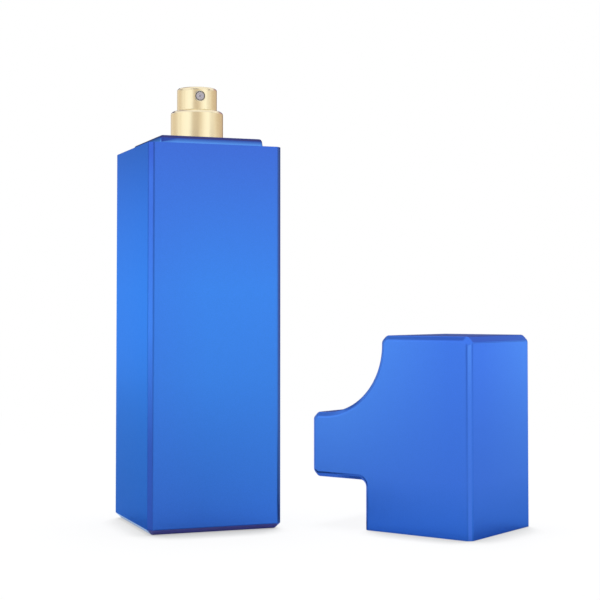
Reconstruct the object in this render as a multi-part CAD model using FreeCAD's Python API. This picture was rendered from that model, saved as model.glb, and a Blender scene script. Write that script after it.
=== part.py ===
"""Square fragrance bottle with a crimped spray pump, and its cap standing beside it.

Millimetres, +Z up. The origin is the centre of the bottle's base and -Y is its front.
"""
import FreeCAD, Part
import math
import os

# Bottle: a square glass moulding with bevelled edges
BODY_WIDTH = 46.0
SHOULDER_Z = 127.6
CORNER_BEVEL = 1.5
BASE_BEVEL = 1.8
WALL = 5.3
BASE_THICKNESS = 11.0
SHOULDER_THICKNESS = 6.6
CAVITY_CORNER = 7.0
CAVITY_FLOOR_ROUND = 5.0
CAVITY_ROOF_ROUND = 6.0
PUNT_RADIUS = 15.0
PUNT_DEPTH = 0.9
PLINTH_WIDTH = 36.3
PLINTH_HEIGHT = 3.0
PLINTH_DRAFT = 0.35
PLINTH_CORNER = 1.2
PLINTH_EDGE_ROUND = 0.9

# Crimp neck: a bead of about 15 mm, which the ferrule is rolled under
PLINTH_TOP = SHOULDER_Z + PLINTH_HEIGHT
NECK_RADIUS = 6.5
BEAD_RADIUS = 7.4
BEAD_HEIGHT = 3.1
BEAD_ROUND = 0.6
NECK_BORE = 4.7
NECK_TOP = PLINTH_TOP + 4.8

# Pump stack on the neck
GASKET_INNER = 4.9
FLANGE_RADIUS = 7.1
GASKET_THICKNESS = 0.6
HOUSING_FLANGE = 0.6
GLAND_FLANGE = 0.5
FERRULE_SHEET = 0.35
FERRULE_INNER = 7.5
FERRULE_ROUND = 0.6
FERRULE_GAP = 0.1
HOUSING_BASE_Z = NECK_TOP + GASKET_THICKNESS
HOUSING_TOP = HOUSING_BASE_Z + HOUSING_FLANGE
FERRULE_TOP = HOUSING_TOP + GLAND_FLANGE + FERRULE_SHEET
TURRET_RADIUS = 3.4
TURRET_HEIGHT = 0.85
TURRET_TOP = FERRULE_TOP + TURRET_HEIGHT

# Pump barrel, from the neck plug down to the dip tube socket
BARREL_BORE = 2.9
BARREL_RADIUS = 3.8
NECK_PLUG_RADIUS = 4.5
NECK_PLUG_LENGTH = 5.2
SPRING_SHELF_Z = 119.8
BARREL_FLOOR = 1.0
BALL_CHAMBER = 1.6
BALL_SEAT_Z = 116.6
INLET_RADIUS = 0.8
TUBE_SOCKET_TOP = 114.6
TUBE_SOCKET_DEPTH = 5.0
NIPPLE_RADIUS = 2.4
NIB_REACH = 0.6
NIB_WIDTH = 0.5
NIB_HEIGHT = 0.4
NIB_Z = 119.0
NIB_TURNS = (0, 120, 240)
BALL_RADIUS = 1.2
SEAT_GAP = 0.02
TUBE_RADIUS = 1.27
TUBE_BORE = 0.75
TUBE_FLOOR_GAP = 2.0
TUBE_BEND_Z = 108.0
TUBE_LEAN = 15.0
TUBE_TURN = 45.0

# Moving column of the pump
STROKE = 3.3
RUNNING_GAP = 0.04
STEM_RADIUS = 1.65
STEM_BORE = 0.7
STEM_TOP = 145.6
STEM_CHAMFER = 0.3
STEM_SHOULDER_RADIUS = 2.5
STEM_SHOULDER_HEIGHT = 0.8
GLAND_PLUG_DEPTH = 1.9
PORT_RADIUS = 0.35
SEAT_TOP = 129.7
SEAT_RADIUS = 2.6
SEAT_THICKNESS = 0.8
SEAT_PIN_RADIUS = 1.7
SEAT_PIN_LENGTH = 4.4
SEAT_PIN_CHAMFER = 0.5
SEAT_PLUG_LENGTH = 0.9
PISTON_BOTTOM = 130.9
PISTON_HEIGHT = 2.7
PISTON_LIP = 0.7
PISTON_LIP_EDGE = 0.1
PISTON_TAPER = 0.4
PISTON_WAIST = 2.35
SPRING_WIRE = 0.25
SPRING_RADIUS = 2.3
SPRING_END_HALVES = 2
SPRING_END_RISE = 0.28
SPRING_OPEN_HALVES = 10

# Gold collar round the crimp
COLLAR_RADIUS = 9.0
COLLAR_SHEET = 0.45
COLLAR_TOP = 141.4
COLLAR_FOOT_GAP = 0.1
COLLAR_OPENING = 7.2
COLLAR_SHOULDER = 1.1
COLLAR_CROWN = 0.3
LINER_GAP = 0.05
LINER_TOP_BORE = 7.3

# Spray head
HEAD_RADIUS = 6.85
HEAD_SHEET = 0.4
HEAD_CLEARANCE = 0.1
HEAD_BOTTOM = FERRULE_TOP + STROKE + HEAD_CLEARANCE
HEAD_TOP = 149.1
HEAD_EDGE_ROUND = 0.7
HEAD_DISH_RADIUS = 5.4
HEAD_DISH_DEPTH = 0.3
HEAD_TURN = -7.3
NOZZLE_Z = 145.9
NOZZLE_HOLE = 1.75
NOZZLE_RADIUS = 1.5
NOZZLE_LENGTH = 2.6
NOZZLE_RECESS = 0.3
NOZZLE_WALL = 0.5
NOZZLE_BLOCK_WALL = 0.8
ORIFICE_RADIUS = 0.16
ORIFICE_FLARE = 0.45
POST_RADIUS = 0.75
CORE_SKIRT_BORE = 5.3
CORE_BOTTOM = 141.2
CORE_ROOF_Z = 146.6
BOSS_RADIUS = 2.9
BOSS_CLEARANCE = 0.3
BOSS_BOTTOM = TURRET_TOP + STROKE + BOSS_CLEARANCE
OUTLET_RADIUS = 0.5

# Cap: a square stem with a flag to one side, below a quarter-round bite
CAP_WIDTH = 40.7
CAP_HEIGHT = 64.4
FLAG_LENGTH = 21.4
FLAG_BOTTOM = 16.2
BITE_RADIUS = 23.2
BITE_STEM_STRAIGHT = 1.2
BITE_FLAG_STRAIGHT = 2.7
CAP_BEVEL = 1.5
CAP_CORNER = 1.9
NOTCH_ROUND = 2.2
PLINTH_CLEARANCE = 0.2
SOCKET_BORE = 9.1
SOCKET_DEPTH = 11.4
HEAD_ROOM_BORE = 7.5
HEAD_ROOM_TOP = 23.4
CAP_LINER_WALL = 1.5
CAP_LINER_FLANGE = 14.0
CAP_LINER_FLANGE_HEIGHT = 1.0
CAP_LINER_GAP = 0.1

# Where the removed cap stands
CAP_PLACE = FreeCAD.Vector(75.2, -41.7, 0)
CAP_TURN = -57.4

ORIGIN = FreeCAD.Vector(0, 0, 0)
UP = FreeCAD.Vector(0, 0, 1)
FRONT = FreeCAD.Vector(0, -1, 0)
DIAGONAL = math.sqrt(0.5)
TOUCH = 1e-4
PAST = 1.0


def at(x, z):
    """A point in the XZ plane."""
    return FreeCAD.Vector(x, 0, z)


def outline(start, *steps):
    """Closed face in the XZ plane. A step is a corner (x, z), or a pair (via, end) for an arc."""
    edges = []
    here = at(*start)
    for step in steps + (start,):
        if isinstance(step[0], tuple):
            via, end = at(*step[0]), at(*step[1])
            edges.append(Part.Arc(here, via, end).toShape())
        else:
            end = at(*step)
            edges.append(Part.LineSegment(here, end).toShape())
        here = end
    return Part.Face(Part.Wire(edges))


def turned(start, *steps):
    """Solid of revolution about Z of an (r, z) outline."""
    return outline(start, *steps).revolve(ORIGIN, UP, 360)


def rod(radius, z0, z1):
    """Upright cylinder on the axis."""
    return Part.makeCylinder(radius, z1 - z0, FreeCAD.Vector(0, 0, z0))


def ring(outer, inner, z0, z1):
    """Upright tube on the axis."""
    return rod(outer, z0, z1).cut(rod(inner, z0 - PAST, z1 + PAST))


def forward_rod(radius, depth0, depth1, z):
    """Cylinder along the front direction between two distances from the axis."""
    return Part.makeCylinder(radius, depth1 - depth0, FreeCAD.Vector(0, -depth0, z), FRONT)


def square_block(width, z0, z1):
    """Square prism centred on the axis."""
    return Part.makeBox(width, width, z1 - z0, FreeCAD.Vector(-width / 2, -width / 2, z0))


def upright_edges(solid):
    """Straight edges that run along Z."""
    open_edges = [e for e in solid.Edges if len(e.Vertexes) == 2]
    return [e for e in open_edges if abs(e.tangentAt(e.FirstParameter).z) > 1 - TOUCH]


def edges_at(solid, z):
    """Edges that lie in one level plane."""
    level = [e for e in solid.Edges if e.BoundBox.ZLength < TOUCH]
    return [e for e in level if abs(e.BoundBox.ZMin - z) < TOUCH]


def shallow_dome(radius, depth):
    """Radius of the ball that cuts a dish of this radius and depth into a flat face."""
    return (radius ** 2 + depth ** 2) / (2 * depth)


def shoulder_plinth():
    """Raised square on the shoulder, with leaning sides, rounded corners and a rounded top edge."""
    foot = PLINTH_WIDTH / 2
    top = foot - PLINTH_DRAFT
    plinth = Part.makeWedge(-foot, 0, -foot, -top, -top, foot, PLINTH_HEIGHT, foot, top, top)
    plinth.rotate(ORIGIN, FreeCAD.Vector(1, 0, 0), 90)
    plinth.translate(FreeCAD.Vector(0, 0, SHOULDER_Z))
    leaning = [e for e in plinth.Edges if e.BoundBox.ZLength > PLINTH_HEIGHT - TOUCH]
    plinth = plinth.makeFillet(PLINTH_CORNER, leaning)
    return plinth.makeFillet(PLINTH_EDGE_ROUND, edges_at(plinth, PLINTH_TOP))


def bottle_outside():
    """Square body with bevelled uprights and foot, and the plinth on its shoulder."""
    body = square_block(BODY_WIDTH, 0, SHOULDER_Z)
    body = body.makeChamfer(CORNER_BEVEL, upright_edges(body))
    body = body.makeChamfer(BASE_BEVEL, edges_at(body, 0))
    return body.fuse(shoulder_plinth())


def crimp_neck():
    """Neck with the rounded bead that the ferrule is rolled under."""
    neck = rod(NECK_RADIUS, PLINTH_TOP - PAST, NECK_TOP)
    bead = rod(BEAD_RADIUS, NECK_TOP - BEAD_HEIGHT, NECK_TOP)
    bead = bead.makeFillet(BEAD_ROUND, edges_at(bead, NECK_TOP) + edges_at(bead, NECK_TOP - BEAD_HEIGHT))
    return neck.fuse(bead)


def bottle_cavity():
    """The space for the liquid, with rounded corners, floor and roof, and the bore of the neck."""
    roof = SHOULDER_Z - SHOULDER_THICKNESS
    space = square_block(BODY_WIDTH - 2 * WALL, BASE_THICKNESS, roof)
    space = space.makeFillet(CAVITY_CORNER, upright_edges(space))
    space = space.makeFillet(CAVITY_FLOOR_ROUND, edges_at(space, BASE_THICKNESS))
    space = space.makeFillet(CAVITY_ROOF_ROUND, edges_at(space, roof))
    return space.fuse(rod(NECK_BORE, roof - PAST, NECK_TOP + PAST))


def bottle_glass():
    """Glass bottle with a shallow push-up in its base."""
    dome = shallow_dome(PUNT_RADIUS, PUNT_DEPTH)
    punt = Part.makeSphere(dome, FreeCAD.Vector(0, 0, PUNT_DEPTH - dome))
    glass = bottle_outside().fuse(crimp_neck()).removeSplitter()
    return glass.cut(bottle_cavity()).cut(punt)


def neck_gasket():
    """Flat washer on the glass lip."""
    return ring(FLANGE_RADIUS, GASKET_INNER, NECK_TOP, HOUSING_BASE_Z)


def ball_nibs():
    """Three nibs over the ball chamber that keep the ball from leaving it."""
    nib = Part.makeBox(NIB_REACH + NIB_WIDTH, NIB_WIDTH, NIB_HEIGHT,
                       FreeCAD.Vector(BALL_CHAMBER - NIB_REACH, -NIB_WIDTH / 2, NIB_Z))
    nibs = []
    for turn in NIB_TURNS:
        copy = nib.copy()
        copy.rotate(ORIGIN, UP, turn)
        nibs.append(copy)
    return nibs


def pump_housing():
    """Pump barrel with its flange, ball seat and dip tube socket, turned from one outline."""
    plug_bottom = HOUSING_BASE_Z - NECK_PLUG_LENGTH
    socket_bottom = TUBE_SOCKET_TOP - TUBE_SOCKET_DEPTH
    cone = BARREL_RADIUS - NIPPLE_RADIUS
    seat_top = BALL_SEAT_Z + BALL_CHAMBER - INLET_RADIUS
    barrel = turned(
        (BARREL_BORE, HOUSING_TOP),
        (FLANGE_RADIUS, HOUSING_TOP),
        (FLANGE_RADIUS, HOUSING_BASE_Z),
        (NECK_PLUG_RADIUS, HOUSING_BASE_Z),
        (NECK_PLUG_RADIUS, plug_bottom),
        (BARREL_RADIUS, plug_bottom - (NECK_PLUG_RADIUS - BARREL_RADIUS)),
        (BARREL_RADIUS, SPRING_SHELF_Z - BARREL_FLOOR),
        (NIPPLE_RADIUS, SPRING_SHELF_Z - BARREL_FLOOR - cone),
        (NIPPLE_RADIUS, socket_bottom),
        (TUBE_RADIUS, socket_bottom),
        (TUBE_RADIUS, TUBE_SOCKET_TOP),
        (INLET_RADIUS, TUBE_SOCKET_TOP),
        (INLET_RADIUS, BALL_SEAT_Z),
        (BALL_CHAMBER, seat_top),
        (BALL_CHAMBER, SPRING_SHELF_Z),
        (BARREL_BORE, SPRING_SHELF_Z),
    )
    return barrel.fuse(ball_nibs()).removeSplitter()


def pump_gland():
    """Turret ring that closes the barrel round the stem."""
    bore = STEM_RADIUS + RUNNING_GAP
    return turned(
        (bore, TURRET_TOP),
        (TURRET_RADIUS, TURRET_TOP),
        (TURRET_RADIUS, HOUSING_TOP + GLAND_FLANGE),
        (FLANGE_RADIUS, HOUSING_TOP + GLAND_FLANGE),
        (FLANGE_RADIUS, HOUSING_TOP),
        (BARREL_BORE, HOUSING_TOP),
        (BARREL_BORE, HOUSING_TOP - GLAND_PLUG_DEPTH),
        (bore, HOUSING_TOP - GLAND_PLUG_DEPTH),
    )


def crimp_ferrule():
    """Drawn metal cup over the pump flange, its foot rolled in round the glass bead."""
    outer = FERRULE_INNER + FERRULE_SHEET
    hole = TURRET_RADIUS + FERRULE_GAP
    under = FERRULE_TOP - FERRULE_SHEET
    drawn = FERRULE_ROUND * (1 - DIAGONAL)
    roll_r, roll_z = BEAD_RADIUS - BEAD_ROUND, NECK_TOP - BEAD_HEIGHT + BEAD_ROUND
    roll_out, roll_in = outer - roll_r, FERRULE_INNER - roll_r
    return turned(
        (hole, FERRULE_TOP),
        (outer - FERRULE_ROUND, FERRULE_TOP),
        ((outer - drawn, FERRULE_TOP - drawn), (outer, FERRULE_TOP - FERRULE_ROUND)),
        (outer, roll_z),
        ((roll_r + roll_out * DIAGONAL, roll_z - roll_out * DIAGONAL), (roll_r, roll_z - roll_out)),
        (roll_r, roll_z - roll_in),
        ((roll_r + roll_in * DIAGONAL, roll_z - roll_in * DIAGONAL), (FERRULE_INNER, roll_z)),
        (FERRULE_INNER, under),
        (hole, under),
    )


def dip_tube():
    """Tube bent in one long arc to a lower corner of the bottle, cut aslant at its foot."""
    foot = BASE_THICKNESS + TUBE_FLOOR_GAP
    drop = TUBE_BEND_Z - foot
    swing = 2 * math.atan2(TUBE_LEAN, drop)
    bend = drop / math.sin(swing)
    straight = ring(TUBE_RADIUS, TUBE_BORE, TUBE_BEND_Z, TUBE_SOCKET_TOP)
    (section,) = [f for f in straight.Faces if abs(f.CenterOfMass.z - TUBE_BEND_Z) < TOUCH]
    arc = section.revolve(at(bend, TUBE_BEND_Z), FRONT, math.degrees(swing))
    reach = TUBE_RADIUS + PAST
    slant = outline(
        (TUBE_LEAN - reach, foot - PAST),
        (TUBE_LEAN + reach, foot - PAST),
        (TUBE_LEAN + reach, foot - PAST + 2 * reach),
    )
    slant = slant.extrude(FreeCAD.Vector(0, 2 * reach, 0))
    slant.translate(FreeCAD.Vector(0, -reach, 0))
    tube = straight.fuse(arc).cut(slant)
    tube.rotate(ORIGIN, UP, TUBE_TURN)
    return tube


def inlet_ball():
    """Steel ball resting on its conical seat."""
    on_cone = BALL_SEAT_Z - INLET_RADIUS + BALL_RADIUS * math.sqrt(2)
    return Part.makeSphere(BALL_RADIUS, FreeCAD.Vector(0, 0, on_cone + SEAT_GAP))


def return_spring():
    """Coil spring of half turns, each in its own tilted plane, with a closed turn at both ends."""
    foot = SPRING_SHELF_Z + SPRING_WIRE + SEAT_GAP
    height = SEAT_TOP - SEAT_THICKNESS - SPRING_WIRE - SEAT_GAP - foot
    open_rise = (height - 2 * SPRING_END_HALVES * SPRING_END_RISE) / SPRING_OPEN_HALVES
    closed_end = [SPRING_END_RISE] * SPRING_END_HALVES
    halves = []
    side, z = 1, foot
    for rise in closed_end + [open_rise] * SPRING_OPEN_HALVES + closed_end:
        wire = Part.makeCircle(SPRING_WIRE, at(side * SPRING_RADIUS, z), FRONT)
        tilted_axis = at(side * rise, 2 * SPRING_RADIUS)
        halves.append(Part.Face(Part.Wire(wire)).revolve(at(0, z + rise / 2), tilted_axis, 180))
        side, z = -side, z + rise
    return halves[0].fuse(halves[1:])


def piston_seat():
    """Flanged plug: its pin centres the spring and its tip closes the foot of the stem."""
    under = SEAT_TOP - SEAT_THICKNESS
    plug = rod(STEM_BORE - RUNNING_GAP, SEAT_TOP - SEAT_THICKNESS / 2, SEAT_TOP + SEAT_PLUG_LENGTH)
    flange = rod(SEAT_RADIUS, under, SEAT_TOP)
    pin = rod(SEAT_PIN_RADIUS, under - SEAT_PIN_LENGTH, SEAT_TOP - SEAT_THICKNESS / 2)
    pin = pin.makeChamfer(SEAT_PIN_CHAMFER, edges_at(pin, under - SEAT_PIN_LENGTH))
    return flange.fuse([plug, pin]).removeSplitter()


def stem():
    """Hollow stem with the stop shoulder under the gland and two ports above the piston seat."""
    shoulder_top = HOUSING_TOP - GLAND_PLUG_DEPTH - SEAT_GAP
    shaft = rod(STEM_RADIUS, SEAT_TOP, STEM_TOP)
    shaft = shaft.makeChamfer(STEM_CHAMFER, edges_at(shaft, STEM_TOP))
    shoulder = rod(STEM_SHOULDER_RADIUS, shoulder_top - STEM_SHOULDER_HEIGHT, shoulder_top)
    port_z = SEAT_TOP + SEAT_PLUG_LENGTH / 2
    ports = forward_rod(PORT_RADIUS, -STEM_RADIUS - PAST, STEM_RADIUS + PAST, port_z)
    column = shaft.fuse(shoulder).removeSplitter()
    return column.cut([rod(STEM_BORE, SEAT_TOP - PAST, STEM_TOP + PAST), ports])


def piston():
    """Ring on the stem with a sealing lip at each end and a narrower waist."""
    lip = BARREL_BORE - RUNNING_GAP
    bore = STEM_RADIUS + SEAT_GAP
    top = PISTON_BOTTOM + PISTON_HEIGHT
    return turned(
        (bore, PISTON_BOTTOM),
        (lip - PISTON_TAPER, PISTON_BOTTOM),
        (lip, PISTON_BOTTOM + PISTON_LIP_EDGE),
        (lip, PISTON_BOTTOM + PISTON_LIP / 2),
        (PISTON_WAIST, PISTON_BOTTOM + PISTON_LIP),
        (PISTON_WAIST, top - PISTON_LIP),
        (lip, top - PISTON_LIP / 2),
        (lip, top - PISTON_LIP_EDGE),
        (lip - PISTON_TAPER, top),
        (bore, top),
    )


def collar_sleeve():
    """Gold sleeve with a rounded shoulder that rises a little to the opening for the head."""
    r, t = COLLAR_RADIUS, COLLAR_SHEET
    foot = PLINTH_TOP + COLLAR_FOOT_GAP
    crown = COLLAR_TOP - COLLAR_CROWN
    turn_r, turn_z = r - COLLAR_SHOULDER, crown - COLLAR_SHOULDER
    outside, inside = COLLAR_SHOULDER * DIAGONAL, (COLLAR_SHOULDER - t) * DIAGONAL
    return turned(
        (r - t, foot),
        (r, foot),
        (r, turn_z),
        ((turn_r + outside, turn_z + outside), (turn_r, crown)),
        (COLLAR_OPENING, COLLAR_TOP),
        (COLLAR_OPENING, COLLAR_TOP - t),
        (turn_r, crown - t),
        ((turn_r + inside, turn_z + inside), (r - t, turn_z)),
    )


def collar_liner():
    """Plastic ring that holds the sleeve on the ferrule."""
    outer = COLLAR_RADIUS - COLLAR_SHEET - LINER_GAP
    bore = FERRULE_INNER + FERRULE_SHEET + LINER_GAP
    foot = PLINTH_TOP + 2 * COLLAR_FOOT_GAP
    top = COLLAR_TOP - COLLAR_CROWN - COLLAR_SHOULDER
    return turned(
        (bore, foot),
        (outer, foot),
        (outer, top),
        (LINER_TOP_BORE, top),
        (LINER_TOP_BORE, FERRULE_TOP + LINER_GAP),
        (bore, FERRULE_TOP + LINER_GAP),
    )


def facing(solid):
    """Turns a piece of the spray head to the way its nozzle points."""
    solid.rotate(ORIGIN, UP, HEAD_TURN)
    return solid


def head_shell():
    """Gold cup over the spray head, with a dished top and a hole for the nozzle."""
    inside = HEAD_RADIUS - HEAD_SHEET
    ceiling = HEAD_TOP - HEAD_DISH_DEPTH - HEAD_SHEET
    cup = rod(HEAD_RADIUS, HEAD_BOTTOM, HEAD_TOP)
    cup = cup.makeFillet(HEAD_EDGE_ROUND, edges_at(cup, HEAD_TOP))
    dome = shallow_dome(HEAD_DISH_RADIUS, HEAD_DISH_DEPTH)
    dish = Part.makeSphere(dome, FreeCAD.Vector(0, 0, HEAD_TOP - HEAD_DISH_DEPTH + dome))
    nozzle_hole = forward_rod(NOZZLE_HOLE, inside / 2, HEAD_RADIUS + PAST, NOZZLE_Z)
    return facing(cup.cut([rod(inside, HEAD_BOTTOM - PAST, ceiling), dish, nozzle_hole]))


def head_core():
    """Moulded head: a skirt, a boss with the stem socket, and the pocket round the nozzle post."""
    r = HEAD_RADIUS - HEAD_SHEET - LINER_GAP
    top = HEAD_TOP - HEAD_DISH_DEPTH - HEAD_SHEET - LINER_GAP
    face = r - NOZZLE_RECESS
    nozzle_back = HEAD_RADIUS - NOZZLE_RECESS - NOZZLE_LENGTH
    socket_top = STEM_TOP + SEAT_GAP
    skirt = turned(
        (0, top),
        (r, top),
        (r, CORE_BOTTOM),
        (CORE_SKIRT_BORE, CORE_BOTTOM),
        (CORE_SKIRT_BORE, CORE_ROOF_Z),
        (BOSS_RADIUS, CORE_ROOF_Z),
        (BOSS_RADIUS, BOSS_BOTTOM),
        (0, BOSS_BOTTOM),
    )
    around = rod(r, CORE_BOTTOM, top)
    block = forward_rod(NOZZLE_RADIUS + NOZZLE_BLOCK_WALL, BOSS_RADIUS / 2, HEAD_RADIUS, NOZZLE_Z)
    pocket = forward_rod(NOZZLE_RADIUS + SEAT_GAP, nozzle_back - SEAT_GAP, HEAD_RADIUS, NOZZLE_Z)
    post = forward_rod(POST_RADIUS, nozzle_back - PAST, face - NOZZLE_WALL, NOZZLE_Z)
    socket = rod(STEM_RADIUS + RUNNING_GAP, BOSS_BOTTOM - PAST, socket_top)
    outlet = rod(OUTLET_RADIUS, socket_top - PAST, NOZZLE_Z + OUTLET_RADIUS)
    channel = forward_rod(OUTLET_RADIUS, 0, nozzle_back + NOZZLE_WALL, NOZZLE_Z + POST_RADIUS)
    solid = skirt.fuse(block.common(around)).cut(pocket).fuse(post).removeSplitter()
    return facing(solid.cut([socket, outlet, channel]))


def nozzle_insert():
    """Small cup over the nozzle post, its face flared in to the spray orifice."""
    face = HEAD_RADIUS - NOZZLE_RECESS
    back = face - NOZZLE_LENGTH
    cup = forward_rod(NOZZLE_RADIUS, back, face, NOZZLE_Z)
    inside = forward_rod(POST_RADIUS + SEAT_GAP, back - PAST, face - NOZZLE_WALL, NOZZLE_Z)
    orifice = forward_rod(ORIFICE_RADIUS, back, face + PAST, NOZZLE_Z)
    flare = Part.makeCone(ORIFICE_RADIUS, ORIFICE_FLARE, NOZZLE_WALL / 2,
                          FreeCAD.Vector(0, NOZZLE_WALL / 2 - face, NOZZLE_Z), FRONT)
    return facing(cup.cut([inside, orifice, flare]))


def cap_outline():
    """Front outline of the cap: stem, flag with clipped corners, and the quarter-round bite."""
    half = CAP_WIDTH / 2
    tip = -half - FLAG_LENGTH
    clip = CAP_CORNER
    bite_x = tip + clip + BITE_FLAG_STRAIGHT
    bite_z = CAP_HEIGHT - clip - BITE_STEM_STRAIGHT
    stem_side = bite_x + BITE_RADIUS
    flag_top = bite_z - BITE_RADIUS
    deep = BITE_RADIUS * DIAGONAL
    notch = NOTCH_ROUND * (1 - DIAGONAL)
    return outline(
        (-half, 0),
        (half, 0),
        (half, CAP_HEIGHT - clip),
        (half - clip, CAP_HEIGHT),
        (stem_side + clip, CAP_HEIGHT),
        (stem_side, CAP_HEIGHT - clip),
        (stem_side, bite_z),
        ((bite_x + deep, bite_z - deep), (bite_x, flag_top)),
        (tip + clip, flag_top),
        (tip, flag_top - clip),
        (tip, FLAG_BOTTOM + clip),
        (tip + clip, FLAG_BOTTOM),
        (-half - NOTCH_ROUND, FLAG_BOTTOM),
        ((-half - notch, FLAG_BOTTOM - notch), (-half, FLAG_BOTTOM - NOTCH_ROUND)),
    )


def face_edges(solid, depth):
    """Edges of the front and back faces, apart from those along the bottom."""
    level = [e for e in solid.Edges if e.BoundBox.YLength < TOUCH and e.BoundBox.ZMax > TOUCH]
    return [e for e in level if abs(abs(e.BoundBox.YMin) - depth) < TOUCH]


def stand_aside(solid):
    """Moves a piece of the cap to where the removed cap stands."""
    solid.rotate(ORIGIN, UP, CAP_TURN)
    solid.translate(CAP_PLACE)
    return solid


def cap_block():
    """Thick moulded cap, bevelled front and back, hollowed for the plinth and the liner."""
    half = CAP_WIDTH / 2
    block = cap_outline().extrude(FreeCAD.Vector(0, CAP_WIDTH, 0))
    block.translate(FreeCAD.Vector(0, -half, 0))
    block = block.makeChamfer(CAP_BEVEL, face_edges(block, half))
    recess_top = PLINTH_HEIGHT + PLINTH_CLEARANCE
    recess = square_block(PLINTH_WIDTH + 2 * PLINTH_CLEARANCE, -PAST, recess_top)
    recess = recess.makeFillet(PLINTH_CORNER, upright_edges(recess))
    flange = rod(CAP_LINER_FLANGE + CAP_LINER_GAP, 0, recess_top + CAP_LINER_FLANGE_HEIGHT)
    play = CAP_LINER_WALL + CAP_LINER_GAP
    liner = rod(SOCKET_BORE + play, 0, HEAD_ROOM_TOP + play)
    return stand_aside(block.cut([recess, flange, liner]))


def cap_liner():
    """Moulded socket: a bore that slips over the collar, and room above it for the spray head."""
    foot = PLINTH_HEIGHT + PLINTH_CLEARANCE
    wall = SOCKET_BORE + CAP_LINER_WALL
    flange_top = foot + CAP_LINER_FLANGE_HEIGHT
    return stand_aside(turned(
        (SOCKET_BORE, foot),
        (CAP_LINER_FLANGE, foot),
        (CAP_LINER_FLANGE, flange_top),
        (wall, flange_top),
        (wall, HEAD_ROOM_TOP + CAP_LINER_WALL),
        (0, HEAD_ROOM_TOP + CAP_LINER_WALL),
        (0, HEAD_ROOM_TOP),
        (HEAD_ROOM_BORE, HEAD_ROOM_TOP),
        (HEAD_ROOM_BORE, foot + SOCKET_DEPTH),
        (SOCKET_BORE, foot + SOCKET_DEPTH),
    ))


PIECES = (
    bottle_glass, neck_gasket, pump_housing, pump_gland, crimp_ferrule, dip_tube, inlet_ball, return_spring,
    piston_seat, stem, piston, collar_liner, collar_sleeve, head_core, head_shell, nozzle_insert,
    cap_block, cap_liner,
)


def main():
    """Writes each piece to its own file as one solid."""
    os.makedirs("parts", exist_ok=True)
    for piece in PIECES:
        (solid,) = piece().Solids
        solid.exportStep("parts/" + piece.__name__ + ".step")
        print(piece.__name__, solid.isValid(), round(solid.Volume, 2), "mm3")


main()
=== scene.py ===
"""Square lacquered spray bottle with its cap standing beside it, dressed for a studio picture."""
import math

import bmesh
import bpy
from bpy.props import FloatProperty, FloatVectorProperty, PointerProperty
from mathutils import Matrix, Vector


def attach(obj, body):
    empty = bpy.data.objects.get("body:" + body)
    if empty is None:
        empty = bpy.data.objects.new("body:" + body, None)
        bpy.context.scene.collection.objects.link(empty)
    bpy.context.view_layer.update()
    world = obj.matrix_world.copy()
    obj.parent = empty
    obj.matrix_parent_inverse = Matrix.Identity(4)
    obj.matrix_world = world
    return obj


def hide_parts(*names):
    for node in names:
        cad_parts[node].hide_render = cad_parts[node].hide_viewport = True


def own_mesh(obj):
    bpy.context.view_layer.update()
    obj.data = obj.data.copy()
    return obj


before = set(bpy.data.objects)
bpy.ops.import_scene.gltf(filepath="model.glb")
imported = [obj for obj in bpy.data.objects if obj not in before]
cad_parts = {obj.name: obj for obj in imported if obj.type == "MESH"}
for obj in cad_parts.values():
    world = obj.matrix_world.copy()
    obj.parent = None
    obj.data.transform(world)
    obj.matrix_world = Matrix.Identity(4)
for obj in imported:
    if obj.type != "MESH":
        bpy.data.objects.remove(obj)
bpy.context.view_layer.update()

bl_info = {
    "name": "Square spray bottle",
    "version": (1, 0, 0),
    "blender": (4, 5, 0),
    "location": "3D View > Sidebar > Spray bottle",
    "description": "Models and finishes a square lacquered bottle, its gold spray pump and its cap",
    "category": "Object",
}

NEAR = 1e-6
FACE_SLOT = 0
PAINTED_BEVEL_SLOT = 1
EDGE_STEPS = 8
ROUND_STEPS = 64
COLLAR_STEPS = 128
HEAD_STEPS = 96
TENT_STEPS = 96
WHITE = (1.0, 1.0, 1.0)
NIGHT = (0.16, 0.15, 0.24)
FINE_EDGE = 0.00015
FINE_RELIEF = 0.00001
SOFT_RELIEF = 0.00002
REPLACED = {"bottle_glass", "collar_sleeve", "head_shell", "nozzle_insert", "return_spring", "cap_block"}


def length(description, default):
    """A length or a height in metres that a user may change."""
    return FloatProperty(description=description, default=default, min=0.0, subtype="DISTANCE", unit="LENGTH",
                         precision=5)


def angle(description, degrees):
    """An angle."""
    return FloatProperty(description=description, default=math.radians(degrees), subtype="ANGLE")


def point(description, default):
    """A place in metres."""
    return FloatVectorProperty(description=description, default=default, size=3, subtype="XYZ", unit="LENGTH")


def share(description, default):
    """A share from 0 to 1."""
    return FloatProperty(description=description, default=default, min=0.0, max=1.0, subtype="FACTOR")


def colour(description, default):
    """A linear colour."""
    return FloatVectorProperty(description=description, default=default, size=3, min=0.0, max=1.0,
                               subtype="COLOR")


def named(group):
    """Names each setting of a group after its own word."""
    for word, setting in group.__annotations__.items():
        setting.keywords["name"] = word.replace("_", " ").capitalize()
    return group


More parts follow.
